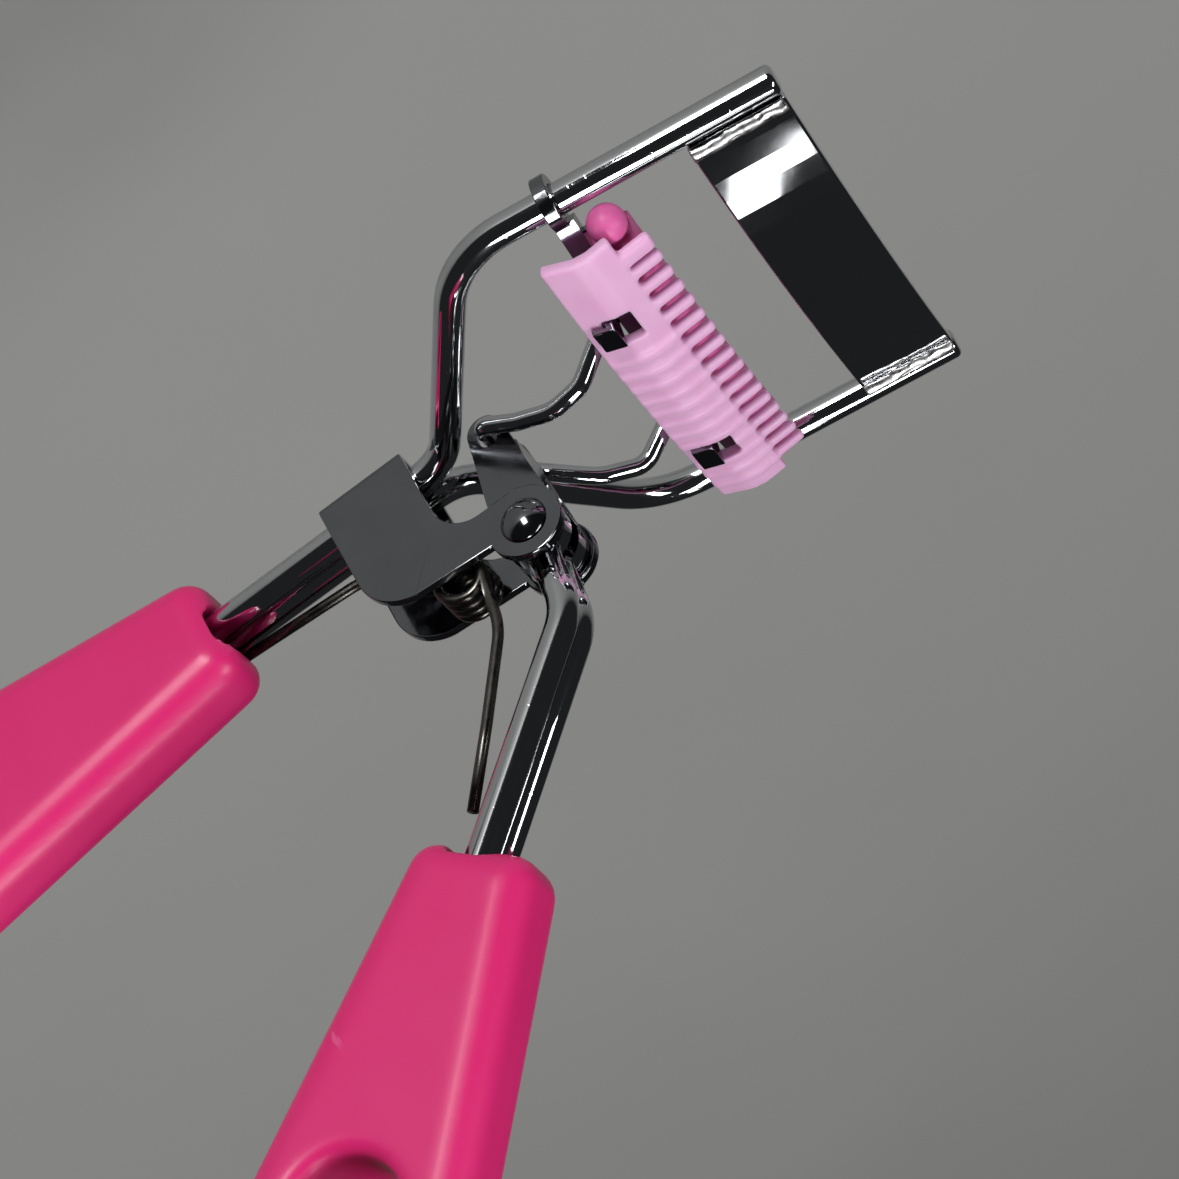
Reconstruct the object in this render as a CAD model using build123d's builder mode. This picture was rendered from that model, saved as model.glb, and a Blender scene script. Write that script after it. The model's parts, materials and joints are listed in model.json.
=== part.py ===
from build123d import *
from math import asin, cos, degrees, radians, sin
import os

os.makedirs("parts", exist_ok=True)

# Row frame: millimetres, origin at the middle of the bracket's back face, +Y forward along the
# fixed handle, +Z towards the lever, X along the pivot rivet. "Left" is -X.

# ---- driving dimensions -------------------------------------------------------------------------
rod_radius = 1.2                # chromed steel wire of the frame and the lever
rod_offset = 1.21               # the two wires of a handle lie side by side
running_gap = 0.06              # radial clearance of everything that turns or slides

# cage: the plane of the two guides, which rises forward from the handle
cage_tilt = 10.3
guide_offset = 17.9             # guide axis from the middle
knee_height = 2.2               # the knee stands above the guide plane
corner_forward = 10.1           # where a leg meets its guide
guide_end = 36.3
knee_radius = 4.0
corner_radius = 7.5

# bracket: folded sheet around the handle wires
sheet = 0.75
bracket_inner = 2.5             # half the inside width
bracket_rear = -3.8
bracket_front = 3.7
cheek_height = 13.2
rear_corner_radius = 4.0
ear_radius = 3.0
cheek_front_height = 6.8        # where the cheek's front edge curves out to the ear
cheek_arc_middle = (4.5, 8.9)
ear_throat = 2.6                # the curve ends this far behind and below the rivet
ear_drop = 3.0
cheek_slope = 1.0               # the cheek's free edge is lower at the rear
rivet_y = 9.11
rivet_z = 12.77
rivet_radius = 1.2
rivet_head_radius = 1.85
rivet_head_height = 1.0

# jaws: both are bent on one cylinder whose axis runs along the guides
jaw_bend_radius = 100.0
jaw_crown = 1.9                 # height of the fixed jaw's mid surface above the guide plane
jaw_rear = 28.4
jaw_front = 36.2
jaw_sheet = 0.9
jaw_half_width = 16.75
bead_radius = 0.75
bead_centre_x = 16.4
bead_centre_z = 1.05
bead_floor = 1.16                # the bead rests on the strip

# moving jaw: channel, pad and comb on two slide eyes
channel_rear = 17.6
channel_front = 20.4
channel_sheet = 0.5
channel_half_width = 13.9
channel_centre = 2.4            # height of the channel's middle above the guide plane
pad_half_height = 1.35
pad_front = 22.3
pad_nose_radius = 1.2
pad_gap = 0.05
pad_half_width = 13.85
bulb_radius = 1.5
bulb_x = 15.3
bulb_y = 20.9
bulb_z = 1.95
eye_radius = 2.1
eye_rear = 17.6
eye_length = 1.1
arm_length = 1.6
arm_top = 3.0                   # the eye's arm at the channel's end
arm_low = 1.5
arm_gap = 0.2
arm_foot = (1.7, 0.3)           # the arm's corners on the ring, in from the guide and up
arm_shoulder = (0.7, 1.8)
comb_half_width = 16.2
comb_rear = 15.2
comb_rear_z = 5.3
comb_crest = 18.3
comb_crest_z = 6.35
comb_root = 20.8
comb_root_z = 5.7
comb_tip = 23.4
comb_tip_z = 5.1
comb_thickness = 0.9
tooth_pitch = 1.75
tooth_count = 17
tooth_gap = 0.7
slot_x = 8.7
slot_width = 2.8
slot_rear = 16.8
slot_front = 19.1
rib_rear = 19.2                 # a rib under the comb rests on the channel
rib_front = 20.2

# push wires between the crank and the moving jaw
wire_radius = 0.7
wire_x = 3.3
wire_bend_radius = 0.95
tab_y = 16.2                    # axis of the wire's front end
tab_z = 2.0
tab_width = 2.4
tab_radius = 1.15
tab_sheet = 0.6
tab_fold_z = 5.68
tongue_rear = 15.9
tongue_drop = 0.45

# lever
bend_y = 5.3                    # the lever's bend, on the cage plane's axes
bend_z = 19.7
lever_angle = 53.5              # the lever beyond its bend, above the guides' backward line
lever_bend_radius = 5.0
eye_plate_radius = 2.6
eye_plate_half = 0.6
neck_start = 1.9
neck_end = 4.0
rod_start = 2.9
crank_y = 4.0                   # hole for the wires' rear ends, on the cage plane's axes
crank_z = 2.6
crank_end_radius = 1.5
crank_sheet = 0.6
crank_slot_half = 0.78
crank_slot_in = 0.58            # the slot's length past the hole, towards the rivet
crank_slot_out = 0.08
web_start = 3.9
web_end = 7.9
web_y = 1.25

# grips
grip_mouth_frame = 20.6         # from the knee back to the frame grip's mouth
grip_mouth_lever = 19.0         # from the bend to the lever grip's mouth
mouth_half_height = 5.1
mouth_corner_radius = 2.0
grip_half_width = 3.6
grip_end_radius = 11.5
grip_end_centre = 46.0
grip_edge_radius = 2.6
hole_front_radius = 4.6
hole_front_centre = 27.6
hole_end_radius = 8.0
hole_edge_radius = 1.2
rod_depth = 15.0                # how far the wires reach into a grip
pocket_depth = 2.6
pocket_half_width = 2.65
pocket_low = 1.6
pocket_high = 2.6

# torsion spring
spring_wire = 0.45
coil_y = -1.6                   # on the cage plane's axes
coil_z = 12.8
coil_radius = 1.75
coil_pitch = 0.85
coil_turns = 4
arm_turn_gap = 0.08
leg_relief = 0.02               # the legs are drawn a little thinner than the turns
leg_lap = 0.25                  # how far a leg's start lies inside its turn
lever_leg_corner = 5.6          # heights of the lever leg's two bends above the coil
lever_leg_knee = 12.8
lever_leg_back = 1.4
frame_leg_gap = 0.05            # between the frame leg and the handle wires
frame_leg_bend = 5.0
spring_tip = 16.2               # along the lever from its bend
spring_tip_offset = 1.95        # from the lever wires' plane

# ---- planes and points --------------------------------------------------------------------------
forward = Vector(0, cos(radians(cage_tilt)), sin(radians(cage_tilt)))
upward = Vector(0, -sin(radians(cage_tilt)), cos(radians(cage_tilt)))
rod_z = sheet + rod_radius
knee_y = 6.1
cage_origin = Vector(0, knee_y, rod_z) - upward * knee_height

# side_plane: local x forward along the guides, local y up from the guide plane, local z = +X
side_plane = Plane(origin=cage_origin, x_dir=forward, z_dir=(1, 0, 0))


def cage(x, y, z):
    """A point given across, along and above the guide plane."""
    return cage_origin + Vector(x, 0, 0) + forward * y + upward * z


def across(y):
    """The plane square to the guides at y: local x = -X, local y up, normal forward."""
    return Plane(origin=cage(0, y, 0), x_dir=(-1, 0, 0), z_dir=forward)


rivet = Vector(0, rivet_y, rivet_z)
jaw_axis = Axis(cage(0, 0, jaw_crown - jaw_bend_radius), forward)
left_right = (("left", -1), ("right", 1))


def jaw_arc(half_width, radius=jaw_bend_radius):
    """Half the angle that a piece of this half width takes on the jaws' cylinder."""
    return degrees(asin(half_width / radius))


# ---- frame --------------------------------------------------------------------------------------
# Two bent wires: each is half of the handle, a leg of the cage and one guide.
frame_grip_y = knee_y - grip_mouth_frame
for side, sign in left_right:
    with BuildPart() as frame_rod:
        with BuildLine() as rod_path:
            FilletPolyline(
                (sign * rod_offset, frame_grip_y - rod_depth, rod_z),
                (sign * rod_offset, knee_y, rod_z),
                cage(sign * guide_offset, corner_forward, 0),
                cage(sign * guide_offset, guide_end, 0),
                radius=(knee_radius, corner_radius),
            )
        with BuildSketch(Plane(origin=rod_path.line @ 0, z_dir=rod_path.line % 0)):
            Circle(rod_radius)
        sweep()
        front_edges = frame_rod.edges().filter_by(GeomType.CIRCLE).sort_by(Axis.Y)[-1:]
        fillet(front_edges, radius=0.5)
    frame_rod.part.label = f"{side}_frame_rod"
    export_step(frame_rod.part, f"parts/{side}_frame_rod.step")

# The fixed jaw is a bent strip between the guides.
with BuildPart() as fixed_jaw:
    with BuildSketch(side_plane):
        with Locations(((jaw_rear + jaw_front) / 2, jaw_crown)):
            Rectangle(jaw_front - jaw_rear, jaw_sheet)
    revolve(axis=jaw_axis, revolution_arc=jaw_arc(jaw_half_width))
    mirror(about=Plane.YZ)
fixed_jaw.part.label = "fixed_jaw"
export_step(fixed_jaw.part, "parts/fixed_jaw.step")

# A braze bead in the corner between each guide and the strip.
for side, sign in left_right:
    with BuildPart() as braze_seam:
        with BuildSketch(across(jaw_rear)):
            with Locations((-sign * bead_centre_x, bead_centre_z)):
                Circle(bead_radius)
            with Locations((-sign * guide_offset, 0)):
                Circle(rod_radius + 0.01, mode=Mode.SUBTRACT)
            with Locations((-sign * bead_centre_x, 0)):
                Rectangle(4 * bead_radius, 2 * bead_floor, mode=Mode.SUBTRACT)
        extrude(amount=jaw_front - jaw_rear)
    braze_seam.part.label = f"{side}_braze_seam"
    export_step(braze_seam.part, f"parts/{side}_braze_seam.step")

# The bracket: one sheet folded round the back of both handle wires into two cheeks with ears.
with BuildPart() as pivot_bracket:
    with BuildSketch(Plane.YZ):
        with BuildLine():
            Line((bracket_rear, 0), (bracket_front, 0))
            Line((bracket_front, 0), (bracket_front, cheek_front_height))
            ThreePointArc((bracket_front, cheek_front_height), cheek_arc_middle,
                          (rivet_y - ear_throat, rivet_z - ear_drop))
            Line((rivet_y - ear_throat, rivet_z - ear_drop), (rivet_y, rivet_z - ear_drop))
            Line((rivet_y, rivet_z - ear_drop), (rivet_y, cheek_height))
            Line((rivet_y, cheek_height), (bracket_rear, cheek_height - cheek_slope))
            Line((bracket_rear, cheek_height - cheek_slope), (bracket_rear, 0))
        make_face()
    extrude(amount=bracket_inner + sheet, both=True)
    rear_edge = pivot_bracket.edges().filter_by(Axis.X).group_by(Axis.Y)[0].sort_by(Axis.Z)[-1]
    fillet(rear_edge, radius=rear_corner_radius)
    spine_edges = pivot_bracket.faces().sort_by(Axis.Z)[0].edges().filter_by(Axis.Y)
    fillet(spine_edges, radius=sheet)
    with BuildSketch(Plane.YZ):
        with Locations((rivet_y, rivet_z)):
            Circle(ear_radius)
    extrude(amount=bracket_inner + sheet, both=True)
    with BuildSketch(Plane.YZ):
        with Locations((rivet_y, cheek_height)):
            Rectangle(60, 2 * (cheek_height - sheet))
    extrude(amount=bracket_inner, both=True, mode=Mode.SUBTRACT)
    with BuildSketch(Plane.YZ):
        with Locations((rivet_y, rivet_z)):
            Circle(rivet_radius)
    extrude(amount=bracket_inner + sheet, both=True, mode=Mode.SUBTRACT)
pivot_bracket.part.label = "pivot_bracket"
export_step(pivot_bracket.part, "parts/pivot_bracket.step")

# The rivet: a shaft across both ears with a domed head on each outer face.
ear_face = bracket_inner + sheet
dome_radius = (rivet_head_radius**2 + rivet_head_height**2) / (2 * rivet_head_height)
with BuildPart() as pivot_rivet:
    with BuildSketch(Plane(origin=rivet, x_dir=(1, 0, 0), z_dir=(0, 0, 1))):
        with BuildLine():
            Line((0, 0), (0, rivet_radius))
            Line((0, rivet_radius), (ear_face, rivet_radius))
            Line((ear_face, rivet_radius), (ear_face, rivet_head_radius))
            CenterArc((ear_face + rivet_head_height - dome_radius, 0), dome_radius, 0,
                      degrees(asin(rivet_head_radius / dome_radius)))
            Line((ear_face + rivet_head_height, 0), (0, 0))
        make_face()
    revolve(axis=Axis(rivet, (1, 0, 0)))
    mirror(about=Plane.YZ)
pivot_rivet.part.label = "pivot_rivet"
export_step(pivot_rivet.part, "parts/pivot_rivet.step")

# ---- torsion spring -----------------------------------------------------------------------------
# The coil's turns are close wound; its frame leg runs back over the handle wires into the grip.
coil = cage(0, coil_y, coil_z)
coil_plane = Plane(origin=coil, x_dir=(1, 0, 0), z_dir=(0, 0, 1))
coil_half = (coil_turns - 1) * coil_pitch / 2
leg_direction = Vector(0, -0.775, -0.632)
leg_side = Vector(0, 0.632, -0.775)
frame_turns = coil_turns - 1
with BuildPart() as torsion_spring:
    with BuildSketch(coil_plane):
        for turn in range(frame_turns):
            with Locations((coil_half - turn * coil_pitch, coil_radius)):
                Circle(spring_wire)
    revolve(axis=Axis(coil, (1, 0, 0)))
    leg_x = Vector(coil_half, 0, 0)
    leg_start = coil + leg_side * coil_radius + leg_x - leg_direction * leg_lap
    leg_rest_z = rod_z + rod_radius + spring_wire + frame_leg_gap
    with BuildLine() as frame_leg_path:
        FilletPolyline(
            leg_start,
            leg_start + leg_direction * ((leg_start.Z - leg_rest_z - 0.9) / 0.632),
            (coil_half, frame_grip_y - pocket_depth + 0.6, leg_rest_z),
            radius=frame_leg_bend,
        )
    with BuildSketch(Plane(origin=frame_leg_path.line @ 0, z_dir=frame_leg_path.line % 0)):
        Circle(spring_wire - leg_relief)
    sweep()
torsion_spring.part.label = "torsion_spring"
export_step(torsion_spring.part, "parts/torsion_spring.step")

# The last turn and the lever leg turn about the coil's axis as the lever closes.
lever_direction = forward * -cos(radians(lever_angle)) + upward * sin(radians(lever_angle))
lever_inner = forward * -sin(radians(lever_angle)) + upward * -cos(radians(lever_angle))
bend = cage(0, bend_y, bend_z)
with BuildPart() as spring_lever_leg:
    arm_x = -coil_half - arm_turn_gap
    tip_x = Vector(-rod_offset, 0, 0)
    with BuildSketch(coil_plane):
        with Locations((arm_x, coil_radius)):
            Circle(spring_wire)
    revolve(axis=Axis(coil, (1, 0, 0)))
    with BuildLine() as lever_leg_path:
        FilletPolyline(
            cage(arm_x, coil_y + coil_radius, coil_z - leg_lap),
            cage(arm_x, coil_y + coil_radius, coil_z + lever_leg_corner),
            cage(arm_x, coil_y - lever_leg_back, coil_z + lever_leg_knee),
            bend + lever_direction * spring_tip + lever_inner * spring_tip_offset + tip_x,
            radius=(6.0, 12.0),
        )
    with BuildSketch(Plane(origin=lever_leg_path.line @ 0, z_dir=lever_leg_path.line % 0)):
        Circle(spring_wire - leg_relief)
    sweep()
spring_lever_leg.part.label = "spring_lever_leg"
export_step(spring_lever_leg.part, "parts/spring_lever_leg.step")

# ---- lever --------------------------------------------------------------------------------------
# Two bent wires, each flattened at its front end into an eye on the rivet.
shank = (bend - rivet).normalized()
for side, sign in left_right:
    rod_x = Vector(sign * rod_offset, 0, 0)
    with BuildPart() as lever_rod:
        with BuildLine() as rod_path:
            FilletPolyline(
                rivet + shank * rod_start + rod_x,
                bend + rod_x,
                bend + lever_direction * (grip_mouth_lever + rod_depth) + rod_x,
                radius=lever_bend_radius,
            )
        with BuildSketch(Plane(origin=rod_path.line @ 0, z_dir=rod_path.line % 0)):
            Circle(rod_radius)
        sweep()
        eye_plane = Plane(origin=rivet + rod_x, x_dir=shank, z_dir=(1, 0, 0))
        with BuildSketch(eye_plane):
            Circle(eye_plate_radius)
            with Locations(((neck_start + neck_end) / 2, 0)):
                Rectangle(neck_end - neck_start, 2 * rod_radius)
            Circle(rivet_radius + running_gap, mode=Mode.SUBTRACT)
        extrude(amount=eye_plate_half, both=True)
    lever_rod.part.label = f"{side}_lever_rod"
    export_step(lever_rod.part, f"parts/{side}_lever_rod.step")

# The crank: a folded sheet on the rivet that carries the wires' rear ends. Its slots run
# towards the rivet, because the wires' ends ride in them as the crank turns.
crank_hole = cage(0, crank_y, crank_z)
crank_length = (crank_hole - rivet).length
crank_direction = (crank_hole - rivet).normalized()
crank_inner = rod_offset + eye_plate_half
with BuildPart() as crank_link:
    for sign in (-1, 1):
        plate_plane = Plane(
            origin=rivet + Vector(sign * (crank_inner + crank_sheet / 2), 0, 0),
            x_dir=crank_direction,
            z_dir=(1, 0, 0),
        )
        with BuildSketch(plate_plane):
            Circle(eye_plate_radius)
            with Locations((crank_length, 0)):
                Circle(crank_end_radius)
            make_hull()
            Circle(rivet_radius + running_gap, mode=Mode.SUBTRACT)
            with Locations((crank_length + (crank_slot_out - crank_slot_in) / 2, 0)):
                SlotCenterToCenter(crank_slot_in + crank_slot_out, 2 * crank_slot_half,
                                   mode=Mode.SUBTRACT)
        extrude(amount=crank_sheet / 2, both=True)
    with BuildSketch(Plane(origin=rivet, x_dir=crank_direction, z_dir=(1, 0, 0))):
        with Locations(((web_start + web_end) / 2, web_y + crank_sheet / 2)):
            Rectangle(web_end - web_start, crank_sheet)
    extrude(amount=crank_inner + crank_sheet / 2, both=True)
crank_link.part.label = "crank_link"
export_step(crank_link.part, "parts/crank_link.step")


# ---- grips --------------------------------------------------------------------------------------
def make_grip(name, mouth):
    """A moulded finger grip: mouth.x runs away from the pivot, mouth.y to the other handle."""
    with BuildPart() as grip:
        with BuildSketch(mouth):
            with Locations((mouth_corner_radius, mouth_half_height - mouth_corner_radius),
                           (mouth_corner_radius, mouth_corner_radius - mouth_half_height)):
                Circle(mouth_corner_radius)
            with Locations((grip_end_centre, 0)):
                Circle(grip_end_radius)
            make_hull()
        extrude(amount=grip_half_width, both=True)
        outline = grip.faces().filter_by(Axis.X).edges()
        fillet(outline, radius=grip_edge_radius)
        with BuildSketch(mouth):
            with Locations((hole_front_centre, 0)):
                Circle(hole_front_radius)
            with Locations((grip_end_centre, 0)):
                Circle(hole_end_radius)
            make_hull()
        extrude(amount=grip_half_width, both=True, mode=Mode.SUBTRACT)
        hole_edges = grip.faces().filter_by(Axis.X).edges().filter_by(
            lambda edge: mouth.to_local_coords(edge.center()).X > hole_front_centre
            - hole_front_radius and abs(mouth.to_local_coords(edge.center()).Y)
            < hole_end_radius + 0.1
            and mouth.to_local_coords(edge.center()).X < grip_end_centre + hole_end_radius + 0.1)
        fillet(hole_edges, radius=hole_edge_radius)
        with BuildSketch(Plane(origin=mouth.origin, x_dir=mouth.y_dir, z_dir=mouth.x_dir)):
            with Locations(((pocket_high - pocket_low) / 2, 0)):
                RectangleRounded(pocket_high + pocket_low, 2 * pocket_half_width, radius=1.2)
        extrude(amount=pocket_depth, mode=Mode.SUBTRACT)
        with BuildSketch(Plane(origin=mouth.origin, x_dir=mouth.y_dir, z_dir=mouth.x_dir)):
            with Locations((0, -rod_offset), (0, rod_offset)):
                Circle(rod_radius)
        extrude(amount=rod_depth, mode=Mode.SUBTRACT)
    grip.part.label = name
    export_step(grip.part, f"parts/{name}.step")


make_grip("frame_grip", Plane(origin=(0, frame_grip_y, rod_z), x_dir=(0, -1, 0), z_dir=(-1, 0, 0)))
make_grip("lever_grip", Plane(origin=bend + lever_direction * grip_mouth_lever,
                              x_dir=lever_direction, z_dir=(1, 0, 0)))

# ---- moving jaw ---------------------------------------------------------------------------------
channel_radius = jaw_bend_radius - jaw_crown + channel_centre
channel_half_height = pad_half_height + pad_gap + channel_sheet
with BuildPart() as jaw_channel:
    with BuildSketch(side_plane):
        with Locations(((channel_rear + channel_front) / 2, channel_centre)):
            Rectangle(channel_front - channel_rear, 2 * channel_half_height)
        with Locations(((channel_rear + channel_front) / 2 + channel_sheet, channel_centre)):
            Rectangle(channel_front - channel_rear, 2 * (pad_half_height + pad_gap),
                      mode=Mode.SUBTRACT)
    revolve(axis=jaw_axis, revolution_arc=jaw_arc(channel_half_width, channel_radius))
    mirror(about=Plane.YZ)
jaw_channel.part.label = "jaw_channel"
export_step(jaw_channel.part, "parts/jaw_channel.step")

# A slide eye at each end: a ring on the guide and a short arm to the channel's end.
end_slope = channel_half_width / channel_radius
axis_depth = jaw_bend_radius - jaw_crown
for side, sign in left_right:
    with BuildPart() as slide_eye:
        with BuildSketch(across(eye_rear)):
            with Locations((-sign * guide_offset, 0)):
                Circle(eye_radius)
                Circle(rod_radius + running_gap, mode=Mode.SUBTRACT)
        extrude(amount=eye_length)
        with BuildSketch(across(eye_rear)):
            with BuildLine():
                Polyline(
                    (-sign * ((arm_top + axis_depth) * end_slope + arm_gap), arm_top),
                    (-sign * ((arm_low + axis_depth) * end_slope + arm_gap), arm_low),
                    (-sign * (guide_offset - arm_foot[0]), arm_foot[1]),
                    (-sign * (guide_offset - arm_shoulder[0]), arm_shoulder[1]),
                    close=True,
                )
            make_face()
        extrude(amount=arm_length)
    slide_eye.part.label = f"{side}_slide_eye"
    export_step(slide_eye.part, f"parts/{side}_slide_eye.step")

# The silicone pad lies in the channel and ends in a round bulb at each side.
with BuildPart() as silicone_pad:
    pad_rear = channel_rear + channel_sheet + pad_gap
    with BuildSketch(side_plane) as pad_section:
        with Locations(((pad_rear + pad_front) / 2, channel_centre)):
            Rectangle(pad_front - pad_rear, 2 * pad_half_height)
        fillet(pad_section.vertices().sort_by(side_plane.location.x_axis)[-2:], radius=pad_nose_radius)
    revolve(axis=jaw_axis, revolution_arc=jaw_arc(pad_half_width, channel_radius))
    with Locations(cage(bulb_x, bulb_y, bulb_z)):
        Sphere(bulb_radius)
    mirror(about=Plane.YZ)
silicone_pad.part.label = "silicone_pad"
export_step(silicone_pad.part, "parts/silicone_pad.step")

# The lash comb: a bent plate with a row of teeth in front and two slots for the wire tabs.
comb_radius = jaw_bend_radius - jaw_crown + comb_rear_z
rib_low = channel_centre + channel_half_height + 0.02
rib_high = comb_root_z - comb_thickness / 2
with BuildPart() as lash_comb:
    with BuildSketch(side_plane):
        with BuildLine():
            Polyline(
                (comb_rear, comb_rear_z),
                (comb_crest, comb_crest_z),
                (comb_root, comb_root_z),
                (comb_tip, comb_tip_z),
                (comb_tip, comb_tip_z - comb_thickness),
                (comb_root, comb_root_z - comb_thickness),
                (comb_crest, comb_crest_z - comb_thickness),
                (comb_rear, comb_rear_z - comb_thickness),
                close=True,
            )
        make_face()
    revolve(axis=jaw_axis, revolution_arc=jaw_arc(comb_half_width, comb_radius))
    with BuildSketch(side_plane):
        with Locations(((rib_rear + rib_front) / 2, (rib_low + rib_high) / 2)):
            Rectangle(rib_front - rib_rear, rib_high - rib_low)
    revolve(axis=jaw_axis, revolution_arc=jaw_arc(channel_half_width, comb_radius))
    mirror(about=Plane.YZ)
    tooth_length = 2 * (comb_tip - comb_root)
    with BuildSketch(Plane(origin=cage(0, comb_tip, 0), x_dir=(1, 0, 0), z_dir=upward)):
        with GridLocations(tooth_pitch, 1, tooth_count - 1, 1):
            SlotOverall(tooth_length, tooth_gap, rotation=90)
    extrude(amount=12, mode=Mode.SUBTRACT)
    slot_middle = (slot_rear + slot_front) / 2
    with BuildSketch(Plane(origin=cage(0, slot_middle, 0), x_dir=(1, 0, 0), z_dir=upward)):
        with Locations((-slot_x, 0), (slot_x, 0)):
            Rectangle(slot_width, slot_front - slot_rear)
    extrude(amount=12, mode=Mode.SUBTRACT)
lash_comb.part.label = "lash_comb"
export_step(lash_comb.part, "parts/lash_comb.step")

# The wire tabs: each has a barrel behind the channel for the wire's front end, and a tongue that
# passes up through the comb's slot and folds back over the comb.
for side, sign in left_right:
    with BuildPart() as wire_tab:
        with BuildSketch(side_plane.offset(sign * slot_x)):
            with Locations((tab_y, tab_z)):
                Circle(tab_radius)
            with BuildLine():
                Polyline(
                    (tab_y, tab_z - tab_radius),
                    (channel_rear, tab_z - tab_radius),
                    (channel_rear, tab_fold_z + tab_sheet),
                    (tongue_rear, tab_fold_z + tab_sheet - tongue_drop),
                    (tongue_rear, tab_fold_z - tongue_drop),
                    (channel_rear - tab_sheet, tab_fold_z),
                    (channel_rear - tab_sheet, tab_z + 0.5),
                    (tab_y, tab_z + 0.5),
                    close=True,
                )
            make_face()
            with Locations((tab_y, tab_z)):
                Circle(wire_radius + running_gap, mode=Mode.SUBTRACT)
        extrude(amount=tab_width / 2, both=True)
    wire_tab.part.label = f"{side}_wire_tab"
    export_step(wire_tab.part, f"parts/{side}_wire_tab.step")

# ---- push wires ---------------------------------------------------------------------------------
# Each wire hooks through the crank's slot at the rear and turns outwards into its tab in front.
left_route = ((-3.4, 6.8, 4.0), (-3.8, 9.8, 5.1), (-4.6, 12.6, 4.9))
right_route = ((3.4, 5.9, 4.0), (5.4, 9.2, 5.2), (7.3, 12.4, 4.8))
wire_inner_end = crank_inner - 0.35
wire_outer_end = slot_x + tab_width / 2 + 0.5
wire_front_x = slot_x - tab_width / 2 - wire_bend_radius - 0.35
for (side, sign), route in zip(left_right, (left_route, right_route)):
    with BuildPart() as push_wire:
        with BuildLine() as wire_path:
            FilletPolyline(
                cage(sign * wire_inner_end, crank_y, crank_z),
                cage(sign * wire_x, crank_y, crank_z),
                *[cage(*point) for point in route],
                cage(sign * wire_front_x, tab_y, tab_z),
                cage(sign * wire_outer_end, tab_y, tab_z),
                radius=(wire_bend_radius, 2.5, 4.0, 2.0, wire_bend_radius),
            )
        with BuildSketch(Plane(origin=wire_path.line @ 0, z_dir=wire_path.line % 0)):
            Circle(wire_radius)
        sweep()
    push_wire.part.label = f"{side}_push_wire"
    export_step(push_wire.part, f"parts/{side}_push_wire.step")
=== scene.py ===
import bpy
import json
from math import cos, pi, radians, sin, sqrt
from mathutils import Matrix, Vector, noise

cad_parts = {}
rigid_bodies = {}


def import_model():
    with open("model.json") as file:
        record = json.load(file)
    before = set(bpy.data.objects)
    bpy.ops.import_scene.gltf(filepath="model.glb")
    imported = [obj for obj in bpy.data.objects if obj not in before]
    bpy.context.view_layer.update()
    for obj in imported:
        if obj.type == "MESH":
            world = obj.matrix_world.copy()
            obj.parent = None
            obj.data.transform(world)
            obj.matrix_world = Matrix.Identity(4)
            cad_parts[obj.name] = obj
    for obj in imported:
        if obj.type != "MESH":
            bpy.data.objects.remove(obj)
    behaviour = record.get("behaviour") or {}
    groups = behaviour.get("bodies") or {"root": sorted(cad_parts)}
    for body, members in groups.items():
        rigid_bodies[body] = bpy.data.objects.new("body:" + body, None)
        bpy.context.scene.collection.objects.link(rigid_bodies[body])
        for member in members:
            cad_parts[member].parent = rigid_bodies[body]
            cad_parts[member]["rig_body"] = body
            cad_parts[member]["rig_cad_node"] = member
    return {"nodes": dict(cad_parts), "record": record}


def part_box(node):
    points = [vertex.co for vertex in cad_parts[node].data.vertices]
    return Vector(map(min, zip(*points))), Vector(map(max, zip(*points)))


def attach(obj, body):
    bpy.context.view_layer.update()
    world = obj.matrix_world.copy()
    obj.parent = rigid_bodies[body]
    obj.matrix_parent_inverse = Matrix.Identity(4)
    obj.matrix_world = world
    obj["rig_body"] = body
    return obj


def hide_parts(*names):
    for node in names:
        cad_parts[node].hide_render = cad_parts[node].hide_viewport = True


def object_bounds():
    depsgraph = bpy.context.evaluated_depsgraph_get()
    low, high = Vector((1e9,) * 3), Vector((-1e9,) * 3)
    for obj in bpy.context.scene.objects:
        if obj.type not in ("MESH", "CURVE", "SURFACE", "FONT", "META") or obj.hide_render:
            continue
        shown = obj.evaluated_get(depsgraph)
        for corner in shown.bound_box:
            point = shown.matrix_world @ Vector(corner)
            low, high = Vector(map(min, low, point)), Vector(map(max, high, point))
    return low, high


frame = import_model()
cad_box = [list(corner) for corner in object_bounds()]
mm = 0.001

# ---- Camera, floor and lights -------------------------------------------------------------------
# A long lens looks down on the curler from its left, rolled so that the jaws stand at the top.
# The floor is plain painted board, and the light is soft boxes in a dim studio.
camera_place = Vector((-203.99, 35.78, 179.89)) * mm
camera_target = Vector((9.52, 8.95, 11.41)) * mm
camera_roll = 148.33
toward = (camera_target - camera_place).normalized()
level_right = toward.cross(Vector((0, 0, 1))).normalized()
level_up = level_right.cross(toward)
roll = radians(camera_roll)
right = level_right * cos(roll) + level_up * sin(roll)
up = right.cross(toward)
bpy.ops.object.camera_add()
camera = bpy.context.object
camera.matrix_world = Matrix.Translation(camera_place) @ Matrix((right, up, -toward)).transposed().to_4x4()
camera.data.lens = 111.15
camera.data.sensor_width = 36.0
camera.data.clip_start = 0.01
bpy.context.scene.camera = camera


def linear(hex_colour):
    """An sRGB hex colour as linear red, green, blue and alpha."""
    channels = [int(hex_colour[i:i + 2], 16) / 255 for i in (1, 3, 5)]
    return [c / 12.92 if c <= 0.04045 else ((c + 0.055) / 1.055) ** 2.4 for c in channels] + [1.0]


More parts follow.
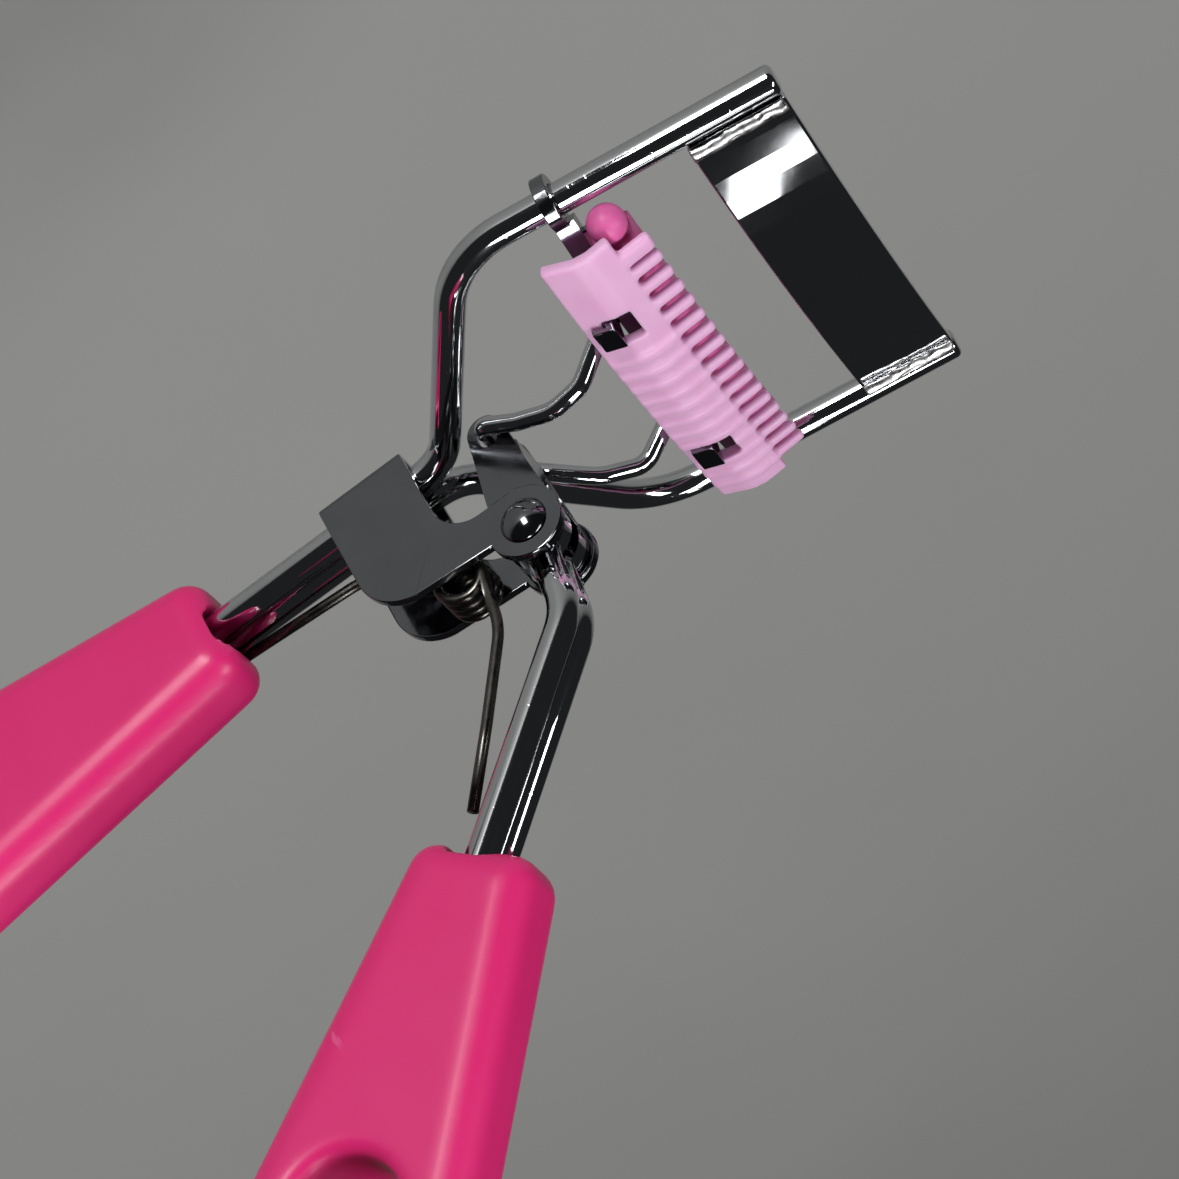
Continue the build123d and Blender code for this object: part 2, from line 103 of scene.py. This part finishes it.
def add_node(material, kind, settings=None, inputs=None):
    """Adds a node: settings are its own properties, inputs are numbers, colours or sockets."""
    tree = material.node_tree
    node = tree.nodes.new(kind)
    for name, value in (settings or {}).items():
        setattr(node, name, value)
    for name, value in (inputs or {}).items():
        if isinstance(value, bpy.types.NodeSocket):
            tree.links.new(value, node.inputs[name])
        else:
            node.inputs[name].default_value = value
    return node


def new_material(name):
    """A material with only its output node."""
    material = bpy.data.materials.new(name)
    material.use_nodes = True
    material.node_tree.nodes.clear()
    return material


def show(material, shader):
    """Links the shader to the material's output."""
    add_node(material, "ShaderNodeOutputMaterial", inputs={"Surface": shader.outputs[0]})


def per_mm(size):
    """The texture scale that gives features of this size in millimetres."""
    return 1 / (size * mm)


# Painted board: matt, with a faint mottle.
board = new_material("painted_board")
place = add_node(board, "ShaderNodeTexCoord")
mottle = add_node(board, "ShaderNodeTexNoise", inputs={
    "Vector": place.outputs["Object"], "Scale": per_mm(60), "Detail": 4.0})
board_colour = add_node(board, "ShaderNodeMix", {"data_type": "RGBA"}, {
    "Factor": mottle.outputs["Fac"], "A": linear("#979795"), "B": linear("#9F9F9D")})
show(board, add_node(board, "ShaderNodeBsdfPrincipled", inputs={
    "Base Color": board_colour.outputs["Result"], "Roughness": 0.75}))

floor_depth = 70 * mm
bpy.ops.mesh.primitive_plane_add(size=3.0, location=(0, 0, cad_box[0][2] - floor_depth))
floor = bpy.context.object
floor.name = "floor"
floor.data.materials.append(board)


def soft_box(name, direction, distance, width, height, power):
    """An area light that stands off the curler in the camera's axes: right, up, back."""
    place = camera_target + (right * direction[0] + up * direction[1] - toward * direction[2]
                             ).normalized() * distance
    bpy.ops.object.light_add(type="AREA", location=place)
    light = bpy.context.object
    light.name = name
    light.rotation_euler = (camera_target - place).to_track_quat("-Z", "Y").to_euler()
    light.data.shape = "RECTANGLE"
    light.data.size = width
    light.data.size_y = height
    light.data.energy = power
    return light


soft_box("key_box", (-0.55, 0.62, 1.0), 0.60, 0.16, 0.30, 2.8)
soft_box("fill_box", (0.9, -0.25, 0.9), 0.70, 0.14, 0.40, 1.8)
soft_box("top_box", (0.25, -0.95, 0.55), 0.60, 0.35, 0.12, 2.1)
# A small window behind the jaws, which the polished strip mirrors near its left end.
window_direction = Vector((0.566, -0.21, 0.798))
bpy.ops.object.light_add(type="AREA", location=camera_target + window_direction * 0.48)
window = bpy.context.object
window.name = "window"
window.rotation_euler = window_direction.to_track_quat("Z", "Y").to_euler()
window.data.shape = "ELLIPSE"
window.data.size = 0.018
window.data.size_y = 0.07
window.data.energy = 0.015

world = bpy.data.worlds.new("dim_studio")
bpy.context.scene.world = world
world.use_nodes = True
world.node_tree.nodes["Background"].inputs["Color"].default_value = linear("#8C8E92")
world.node_tree.nodes["Background"].inputs["Strength"].default_value = 0.07
bpy.context.scene.view_settings.view_transform = "Standard"


# ---- Chromed wires and sheet --------------------------------------------------------------------
# The frame, lever, crank, tabs and eyes are steel wire and sheet, bent, stamped and plated with
# bright chrome after they are joined. Each piece is its CAD solid, smoothed and plated.
def select_only(*pieces):
    """Selects these objects alone and makes the first one active."""
    bpy.ops.object.select_all(action="DESELECT")
    for piece in pieces:
        piece.select_set(True)
    bpy.context.view_layer.objects.active = pieces[0]


def add_modifier(piece, kind, **settings):
    """Adds a modifier with these settings and applies it."""
    select_only(piece)
    bpy.ops.object.modifier_add(type=kind)
    modifier = piece.modifiers[-1]
    for name, value in settings.items():
        setattr(modifier, name, value)
    bpy.ops.object.modifier_apply(modifier=modifier.name)


def finish_copy(node, smooth_angle=35.0):
    """A copy of a CAD node with its faces joined and smoothed. It stands for the node."""
    source = frame["nodes"][node]
    select_only(source)
    bpy.ops.object.duplicate()
    piece = bpy.context.object
    piece.name = node + "_finish"
    piece.parent = None
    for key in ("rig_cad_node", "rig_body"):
        if key in piece:
            del piece[key]
    bpy.ops.object.mode_set(mode="EDIT")
    bpy.ops.mesh.select_all(action="SELECT")
    bpy.ops.mesh.remove_doubles(threshold=0.0005 * mm)
    bpy.ops.object.mode_set(mode="OBJECT")
    piece.data.materials.clear()
    bpy.ops.object.shade_smooth_by_angle(angle=radians(smooth_angle))
    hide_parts(node)
    return piece


def mount(piece, body, material):
    """Gives the piece its material and lets it ride on its body."""
    piece.data.materials.clear()
    piece.data.materials.append(material)
    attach(piece, body)


def chrome(name, tone_light, tone_dark, haze, smear_size, bump_size, bump_height, scratch=0.35):
    """Bright chrome plate: a clean mirror with faint smears and hair scratches in its gloss."""
    material = new_material(name)
    place = add_node(material, "ShaderNodeTexCoord")
    smear = add_node(material, "ShaderNodeTexNoise", inputs={
        "Vector": place.outputs["Object"], "Scale": per_mm(smear_size), "Detail": 5.0,
        "Roughness": 0.6})
    smear_range = add_node(material, "ShaderNodeMapRange", inputs={
        "Value": smear.outputs["Fac"], "From Min": 0.35, "From Max": 0.75,
        "To Min": haze, "To Max": haze * 3})
    tone = add_node(material, "ShaderNodeMix", {"data_type": "RGBA"}, {
        "Factor": smear.outputs["Fac"], "A": linear(tone_light), "B": linear(tone_dark)})
    stretch = add_node(material, "ShaderNodeMapping", inputs={
        "Vector": place.outputs["Object"], "Rotation": (0.3, 0.5, 0.9), "Scale": (1.0, 14.0, 9.0)})
    hair = add_node(material, "ShaderNodeTexNoise", inputs={
        "Vector": stretch.outputs["Vector"], "Scale": per_mm(4.0), "Detail": 3.0})
    hair_line = add_node(material, "ShaderNodeMapRange", inputs={
        "Value": hair.outputs["Fac"], "From Min": 0.66, "From Max": 0.72,
        "To Min": 0.0, "To Max": scratch})
    grain = add_node(material, "ShaderNodeTexNoise", inputs={
        "Vector": place.outputs["Object"], "Scale": per_mm(bump_size), "Detail": 2.0})
    height = add_node(material, "ShaderNodeMath", {"operation": "SUBTRACT"}, {
        0: grain.outputs["Fac"], 1: hair_line.outputs["Result"]})
    bump = add_node(material, "ShaderNodeBump", inputs={
        "Height": height.outputs["Value"], "Strength": 1.0, "Distance": bump_height * mm})
    show(material, add_node(material, "ShaderNodeBsdfPrincipled", inputs={
        "Base Color": tone.outputs["Result"], "Metallic": 1.0,
        "Roughness": smear_range.outputs["Result"], "Normal": bump.outputs["Normal"]}))
    return material


# Chrome on drawn wire keeps a slight lengthwise unevenness, so its reflections waver.
wire_chrome = chrome("chrome_on_drawn_wire", "#D8DADC", "#BFC1C4", 0.035, 5.0, 2.2, 0.006)
# Chrome on stamped sheet is flatter, with a faint orange peel.
sheet_chrome = chrome("chrome_on_stamped_sheet", "#8A8C90", "#707276", 0.06, 6.0, 1.5, 0.004)

body_of_node = {node: body for body, nodes in frame["record"]["behaviour"]["bodies"].items()
                for node in nodes}
for node in ("left_frame_rod", "right_frame_rod", "left_lever_rod", "right_lever_rod",
             "left_push_wire", "right_push_wire"):
    mount(finish_copy(node), body_of_node[node], wire_chrome)
for node in ("pivot_bracket", "crank_link", "left_slide_eye", "right_slide_eye",
             "left_wire_tab", "right_wire_tab", "jaw_channel", "pivot_rivet"):
    piece = finish_copy(node)
    if node != "pivot_rivet":
        add_modifier(piece, "BEVEL", width=0.12 * mm, segments=3, limit_method="ANGLE",
                     angle_limit=radians(40), harden_normals=False)
        select_only(piece)
        bpy.ops.object.shade_smooth_by_angle(angle=radians(35))
    add_modifier(piece, "WEIGHTED_NORMAL", keep_sharp=True)
    mount(piece, body_of_node[node], sheet_chrome)

# ---- Fixed jaw ----------------------------------------------------------------------------------
# A strip of sheet steel, bent on a wide cylinder, mirror polished and plated. Its long edges are
# rounded by the polishing.
mirror_chrome = chrome("mirror_polished_chrome", "#D2D4D7", "#C4C6CA", 0.02, 7.0, 8.0, 0.0015, scratch=0.1)
jaw = finish_copy("fixed_jaw")
add_modifier(jaw, "BEVEL", width=0.22 * mm, segments=4, limit_method="ANGLE", angle_limit=radians(40))
select_only(jaw)
bpy.ops.object.shade_smooth_by_angle(angle=radians(35))
add_modifier(jaw, "WEIGHTED_NORMAL", keep_sharp=True)
mount(jaw, "frame", mirror_chrome)


# ---- Braze seams --------------------------------------------------------------------------------
# Bright silver braze ran along the corner between each guide and the strip before plating, and
# froze in small lumps.
braze = chrome("plated_braze", "#D4D4D4", "#B0B0B0", 0.2, 0.8, 0.9, 0.01, scratch=0.0)
for side in ("left", "right"):
    low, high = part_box(side + "_braze_seam")
    seam = finish_copy(side + "_braze_seam")
    add_modifier(seam, "REMESH", mode="VOXEL", voxel_size=0.09 * mm)
    middle = (low + high) / 2
    for vertex in seam.data.vertices:
        lump = noise.noise(vertex.co * per_mm(1.1)) * 0.6 + noise.noise(vertex.co * per_mm(0.6)) * 0.25
        inward = (middle - vertex.co)
        inward.y *= 0.15
        inward.z *= 0.6
        vertex.co += inward.normalized() * max(0.0, 0.16 + lump * 0.3) * mm
    add_modifier(seam, "SMOOTH", factor=0.5, iterations=9)
    select_only(seam)
    bpy.ops.object.shade_smooth()
    mount(seam, "frame", braze)


# ---- Torsion spring -----------------------------------------------------------------------------
# Drawn spring wire, close wound. One leg lies back along the handle, and the other presses the
# lever open. The last turn and the lever leg are a piece of their own, so that they can turn.
spring_steel = chrome("drawn_spring_steel", "#6E6C68", "#45433F", 0.16, 2.0, 0.4, 0.01, scratch=0.5)
for node, body in (("torsion_spring", "frame"), ("spring_lever_leg", "spring_arm")):
    mount(finish_copy(node, smooth_angle=50.0), body, spring_steel)


# ---- Grips --------------------------------------------------------------------------------------
# Two injection-moulded finger grips of pigmented ABS with a satin mould finish. The wires are
# pressed into the mouths, whose rims and holes are softly rounded.
def moulded_copy(node, voxel, smoothing):
    """A copy of a CAD node with the soft edges that a mould leaves."""
    piece = finish_copy(node)
    add_modifier(piece, "REMESH", mode="VOXEL", voxel_size=voxel * mm)
    add_modifier(piece, "SMOOTH", factor=0.5, iterations=smoothing)
    select_only(piece)
    bpy.ops.object.shade_smooth()
    return piece


def satin_abs(name):
    """Pigmented ABS: a satin skin with a fine spark-eroded grain, a few scuffs and hair scratches."""
    material = new_material(name)
    place = add_node(material, "ShaderNodeTexCoord")
    cloud = add_node(material, "ShaderNodeTexNoise", inputs={
        "Vector": place.outputs["Object"], "Scale": per_mm(14), "Detail": 4.0})
    colour = add_node(material, "ShaderNodeMix", {"data_type": "RGBA"}, {
        "Factor": cloud.outputs["Fac"], "A": linear("#E21E70"), "B": linear("#EA3280")})
    grain = add_node(material, "ShaderNodeTexNoise", inputs={
        "Vector": place.outputs["Object"], "Scale": per_mm(0.16), "Detail": 2.0})
    dent = add_node(material, "ShaderNodeTexNoise", inputs={
        "Vector": place.outputs["Object"], "Scale": per_mm(3.5), "Detail": 6.0, "Roughness": 0.7})
    dent_spot = add_node(material, "ShaderNodeMapRange", inputs={
        "Value": dent.outputs["Fac"], "From Min": 0.70, "From Max": 0.76,
        "To Min": 0.0, "To Max": 1.0})
    stretch = add_node(material, "ShaderNodeMapping", inputs={
        "Vector": place.outputs["Object"], "Rotation": (0.4, 0.2, 0.7), "Scale": (1.0, 11.0, 1.6)})
    hair = add_node(material, "ShaderNodeTexNoise", inputs={
        "Vector": stretch.outputs["Vector"], "Scale": per_mm(16.0), "Detail": 2.0, "Distortion": 0.6})
    hair_line = add_node(material, "ShaderNodeMapRange", inputs={
        "Value": hair.outputs["Fac"], "From Min": 0.70, "From Max": 0.73,
        "To Min": 0.0, "To Max": 0.6})
    marks = add_node(material, "ShaderNodeMath", {"operation": "ADD"}, {
        0: dent_spot.outputs["Result"], 1: hair_line.outputs["Result"]})
    scuffed = add_node(material, "ShaderNodeMix", {"data_type": "RGBA"}, {
        "Factor": marks.outputs["Value"], "A": colour.outputs["Result"], "B": linear("#F06A9E")})
    gloss = add_node(material, "ShaderNodeMapRange", inputs={
        "Value": cloud.outputs["Fac"], "From Min": 0.3, "From Max": 0.7,
        "To Min": 0.33, "To Max": 0.42})
    height = add_node(material, "ShaderNodeMath", {"operation": "SUBTRACT"}, {
        0: grain.outputs["Fac"], 1: marks.outputs["Value"]})
    bump = add_node(material, "ShaderNodeBump", inputs={
        "Height": height.outputs["Value"], "Strength": 0.6, "Distance": 0.012 * mm})
    show(material, add_node(material, "ShaderNodeBsdfPrincipled", inputs={
        "Base Color": scuffed.outputs["Result"], "Roughness": gloss.outputs["Result"],
        "IOR": 1.53, "Subsurface Weight": 0.12, "Subsurface Scale": 0.8 * mm,
        "Subsurface Radius": (1.0, 0.25, 0.3), "Normal": bump.outputs["Normal"]}))
    return material


grip_abs = satin_abs("satin_moulded_abs")
for node, body in (("frame_grip", "frame"), ("lever_grip", "lever")):
    mount(moulded_copy(node, 0.32, 6), body, grip_abs)


# ---- Silicone pad -------------------------------------------------------------------------------
# A strip of moulded silicone rubber pushed into the channel, with a round bulb at each end that
# keeps it there. Silicone is slightly translucent and picks up a fine dust.
silicone = new_material("moulded_silicone")
place = add_node(silicone, "ShaderNodeTexCoord")
dust = add_node(silicone, "ShaderNodeTexNoise", inputs={
    "Vector": place.outputs["Object"], "Scale": per_mm(0.5), "Detail": 5.0})
dust_gloss = add_node(silicone, "ShaderNodeMapRange", inputs={
    "Value": dust.outputs["Fac"], "To Min": 0.34, "To Max": 0.56})
silicone_colour = add_node(silicone, "ShaderNodeMix", {"data_type": "RGBA"}, {
    "Factor": dust.outputs["Fac"], "A": linear("#D8589A"), "B": linear("#E070AE")})
silicone_bump = add_node(silicone, "ShaderNodeBump", inputs={
    "Height": dust.outputs["Fac"], "Strength": 0.4, "Distance": 0.01 * mm})
show(silicone, add_node(silicone, "ShaderNodeBsdfPrincipled", inputs={
    "Base Color": silicone_colour.outputs["Result"], "Roughness": dust_gloss.outputs["Result"],
    "IOR": 1.41, "Subsurface Weight": 0.35, "Subsurface Scale": 0.8 * mm,
    "Subsurface Radius": (1.0, 0.4, 0.5), "Normal": silicone_bump.outputs["Normal"]}))
mount(moulded_copy("silicone_pad", 0.14, 3), "carriage", silicone)


# ---- Lash comb ----------------------------------------------------------------------------------
# One soft moulding: a bent plate with raised ribs that run over its crest into round-ended teeth,
# and a slot for each wire tab. It is shaped flat, in millimetres across and along the guides,
# then bent to the jaws' cylinder and set on the guide plane.
comb_rear, comb_crest, comb_root, comb_tip = 15.2, 18.3, 20.8, 23.4
comb_heights = ((comb_rear, 5.3), (comb_crest, 6.35), (comb_root, 5.7), (comb_tip, 5.1))
comb_half_width = 16.2
comb_thickness = 0.9
tooth_pitch = 1.75
bend_radius = 101.6
slot_x, slot_rear, slot_front = 8.7, 16.8, 19.1


def comb_top(y):
    """Height of the comb's upper surface above the guide plane, softly rounded at its crest."""
    for (y0, z0), (y1, z1) in zip(comb_heights, comb_heights[1:]):
        if y <= y1:
            break
    z = z0 + (z1 - z0) * (y - y0) / (y1 - y0)
    return z - 0.22 * max(0.0, 1 - abs(y - comb_crest) / 0.9) ** 2


def comb_bar(name, x, y_start, y_end, width, thickness, lift, steps):
    """A bar that follows the comb's upper surface from y_start to y_end."""
    bpy.ops.object.select_all(action="DESELECT")
    bpy.ops.mesh.primitive_grid_add(x_subdivisions=max(2, int(width)), y_subdivisions=steps, size=1.0)
    bar = bpy.context.object
    bar.name = name
    for vertex in bar.data.vertices:
        y = (y_start + y_end) / 2 + vertex.co.y * (y_end - y_start)
        vertex.co = (x + vertex.co.x * width, y, comb_top(y) + lift)
    add_modifier(bar, "SOLIDIFY", thickness=thickness, offset=-1.0)
    return bar


comb_parts = [comb_bar("lash_comb_finish", 0.0, comb_rear, comb_root, 2 * comb_half_width,
                       comb_thickness, 0.0, 16)]
first_tooth = -8
for index in range(first_tooth, 9):
    end_tooth = index == first_tooth
    tooth = comb_bar("comb_tooth", (index + (0.1 if end_tooth else 0)) * tooth_pitch,
                     comb_root - 0.6, comb_tip - 0.05, 1.5 if end_tooth else 1.02,
                     comb_thickness - 0.05, 0.02, 8)
    add_modifier(tooth, "BEVEL", width=0.36, segments=4, limit_method="ANGLE",
                 angle_limit=radians(40))
    comb_parts.append(tooth)
    if index * tooth_pitch > -5.5:
        beside_slot = abs(index * tooth_pitch - slot_x) < 1.5
        comb_parts.append(comb_bar("comb_rib", index * tooth_pitch,
                                   slot_front if beside_slot else comb_rear + 0.1,
                                   comb_root + 0.1, 0.75, 0.6, 0.24, 16))
comb = comb_parts[0]
select_only(*comb_parts)
bpy.ops.object.join()
for x in (-slot_x, slot_x):
    bpy.ops.object.select_all(action="DESELECT")
    bpy.ops.mesh.primitive_cube_add(size=1.0, location=(x, (slot_rear + slot_front) / 2, 5.0))
    cutter = bpy.context.object
    cutter.scale = (2.8, slot_front - slot_rear, 6.0)
    bpy.ops.object.transform_apply()
    comb.select_set(True)
    bpy.context.view_layer.objects.active = comb
    add_modifier(comb, "REMESH", mode="VOXEL", voxel_size=0.13)
    add_modifier(comb, "BOOLEAN", operation="DIFFERENCE", object=cutter, solver="EXACT")
    bpy.data.objects.remove(cutter)
add_modifier(comb, "REMESH", mode="VOXEL", voxel_size=0.125)
add_modifier(comb, "SMOOTH", factor=0.5, iterations=3)

guide_tilt = radians(10.3)
knee = Vector((0, 6.1, 1.95))
across_axis = Vector((1, 0, 0))
forward_axis = Vector((0, cos(guide_tilt), sin(guide_tilt)))
upward_axis = Vector((0, -sin(guide_tilt), cos(guide_tilt)))
cage_origin = knee - upward_axis * 2.2
for vertex in comb.data.vertices:
    x, y, z = vertex.co
    z -= bend_radius - sqrt(bend_radius ** 2 - x ** 2)
    vertex.co = (cage_origin + across_axis * x + forward_axis * y + upward_axis * z) * mm
select_only(comb)
bpy.ops.object.shade_smooth()

comb_plastic = new_material("soft_moulded_polypropylene")
place = add_node(comb_plastic, "ShaderNodeTexCoord")
haze = add_node(comb_plastic, "ShaderNodeTexNoise", inputs={
    "Vector": place.outputs["Object"], "Scale": per_mm(3.0), "Detail": 5.0})
comb_colour = add_node(comb_plastic, "ShaderNodeMix", {"data_type": "RGBA"}, {
    "Factor": haze.outputs["Fac"], "A": linear("#E6A8D4"), "B": linear("#EDBEE0")})
skin = add_node(comb_plastic, "ShaderNodeTexNoise", inputs={
    "Vector": place.outputs["Object"], "Scale": per_mm(0.22), "Detail": 3.0})
skin_bump = add_node(comb_plastic, "ShaderNodeBump", inputs={
    "Height": skin.outputs["Fac"], "Strength": 0.4, "Distance": 0.012 * mm})
comb_gloss = add_node(comb_plastic, "ShaderNodeMapRange", inputs={
    "Value": haze.outputs["Fac"], "To Min": 0.38, "To Max": 0.52})
show(comb_plastic, add_node(comb_plastic, "ShaderNodeBsdfPrincipled", inputs={
    "Base Color": comb_colour.outputs["Result"], "Roughness": comb_gloss.outputs["Result"],
    "IOR": 1.49, "Subsurface Weight": 0.5, "Subsurface Scale": 1.2 * mm,
    "Subsurface Radius": (1.0, 0.55, 0.8), "Normal": skin_bump.outputs["Normal"]}))
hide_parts("lash_comb")
mount(comb, "carriage", comb_plastic)
